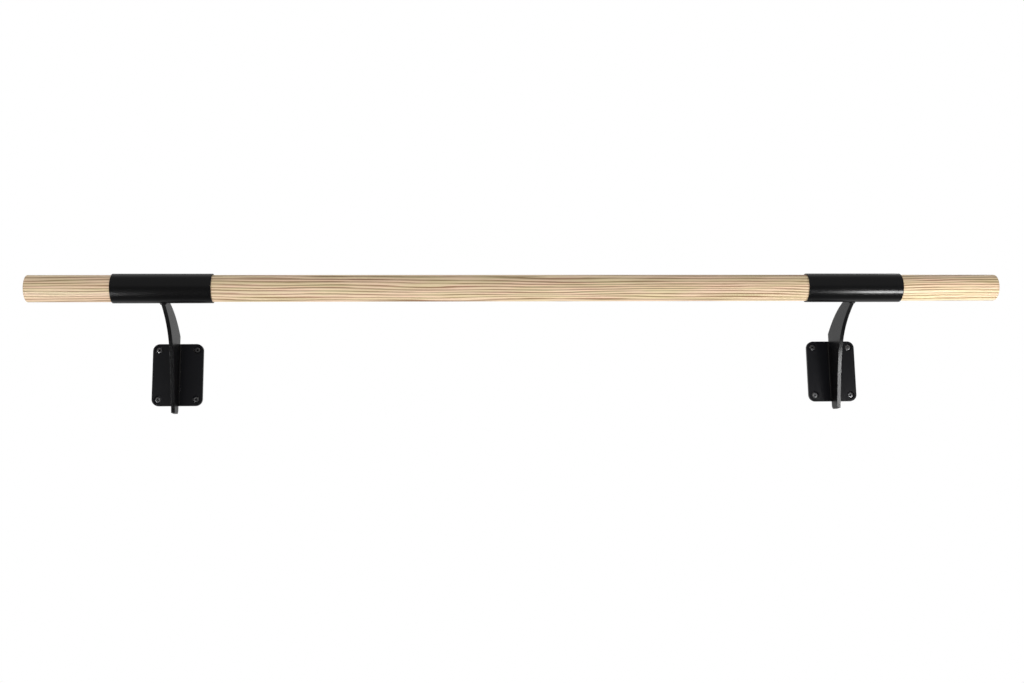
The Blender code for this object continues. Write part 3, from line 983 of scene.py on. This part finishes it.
def near_light(name, x, width, drop, distance, glow, spread):
    """A small light beside the bar, this many degrees below its axis."""
    axis = middle_of("left_sleeve")
    down = math.radians(drop)
    y = axis.y - distance * math.cos(down)
    z = axis.z - distance * math.sin(down)
    target = (x, axis.y, axis.z)
    add_softbox(name, (x, y, z), target, width=width, height=0.085, glow=glow, spread=spread)


def make_lights():
    """Two small lights near the bar's ends, and wide soft ones in front and behind."""
    near_light("left_light", x=-0.80, width=0.16, drop=54, distance=0.32, glow=20.0, spread=False)
    near_light("right_light", x=0.722, width=0.11, drop=46, distance=0.38, glow=27.0, spread=True)
    axis = middle_of("left_sleeve")
    aim = (0, axis.y, axis.z)
    low_place, high_place = (-0.1, -1.45, -1.25), (-0.1, -1.3, 2.1)
    add_softbox("front_fill", low_place, aim, width=3.0, height=1.4, glow=2.15, mirrored=False)
    add_softbox("top_fill", high_place, aim, width=3.0, height=1.0, glow=1.5, mirrored=False)
    for name, sign in (("back_left_softbox", -1), ("back_right_softbox", 1)):
        place = (sign * 2.1, axis.y + 1.7, axis.z + 1.3)
        add_softbox(name, place, axis, width=1.2, height=1.2, glow=2.2)


def make_floor():
    """A pale floor that fades into the white surround far from the bar."""
    depth, radius = -3.0, 11.0
    shape = bmesh.new()
    bmesh.ops.create_circle(shape, cap_ends=True, segments=96, radius=radius)
    floor = body_from(shape, "studio_floor", Matrix.Translation((0, 0, depth)))
    material = bpy.data.materials.new("pale_floor")
    finish = Finish(material)
    x, y, _ = finish.split(finish.place())
    fade = finish.step((x * x + y * y) ** 0.5, radius * 0.25, radius * 0.95)
    sockets = {
        "Base Color": (0.80, 0.80, 0.79, 1.0),
        "Roughness": 0.9,
        "Emission Color": (1.0, 1.0, 1.0, 1.0),
        "Emission Strength": 0.55,
    }
    pale = finish.node("ShaderNodeBsdfPrincipled", None, sockets)
    clear = finish.node("ShaderNodeBsdfTransparent")
    mixed = finish.node("ShaderNodeMixShader", None, {0: fade, 1: pale, 2: clear})
    finish.node("ShaderNodeOutputMaterial", None, {"Surface": mixed})
    floor.data.materials.append(material)
    floor.visible_glossy = False
    floor.visible_diffuse = False


def make_camera():
    """Looks up at the bar from below and a little left of its middle."""
    yaw, pitch, roll = 0.0647, 0.1555, -0.0140
    camera = bpy.data.cameras.new("camera")
    camera.sensor_width = 36.0
    camera.lens = 41.78
    stand = bpy.data.objects.new("camera", camera)
    turn = Matrix.Rotation(-yaw, 4, "Z") @ Matrix.Rotation(math.pi / 2 + pitch, 4, "X")
    turn = turn @ Matrix.Rotation(roll, 4, "Z")
    stand.matrix_world = Matrix.Translation((-0.1209, -1.9243, -0.2494)) @ turn
    bpy.context.scene.collection.objects.link(stand)
    bpy.context.scene.camera = stand


make_camera()
make_bar()
sleeve_coat = black_coat("black_coat_on_sleeve", (0.0045, 0.0045, 0.0048), 0.25)
arm_coat = black_coat("black_coat_on_arm", (0.0045, 0.0045, 0.0050), 0.28)
plate_coat = black_coat("black_coat_on_plate", (0.0047, 0.0047, 0.0063), 0.30)
weld_coat = black_coat("black_coat_on_weld", (0.0045, 0.0045, 0.0048), 0.27)
for side in SIDES:
    make_sleeve(side, sleeve_coat)
    make_arm(side, arm_coat)
    make_plate(side, plate_coat)
    make_sleeve_weld(side, weld_coat)
    for hand in SIDES:
        make_plate_weld(side, hand, weld_coat)
make_screws()
make_surround()
make_lights()
make_floor()
bpy.context.scene.view_settings.view_transform = "Standard"
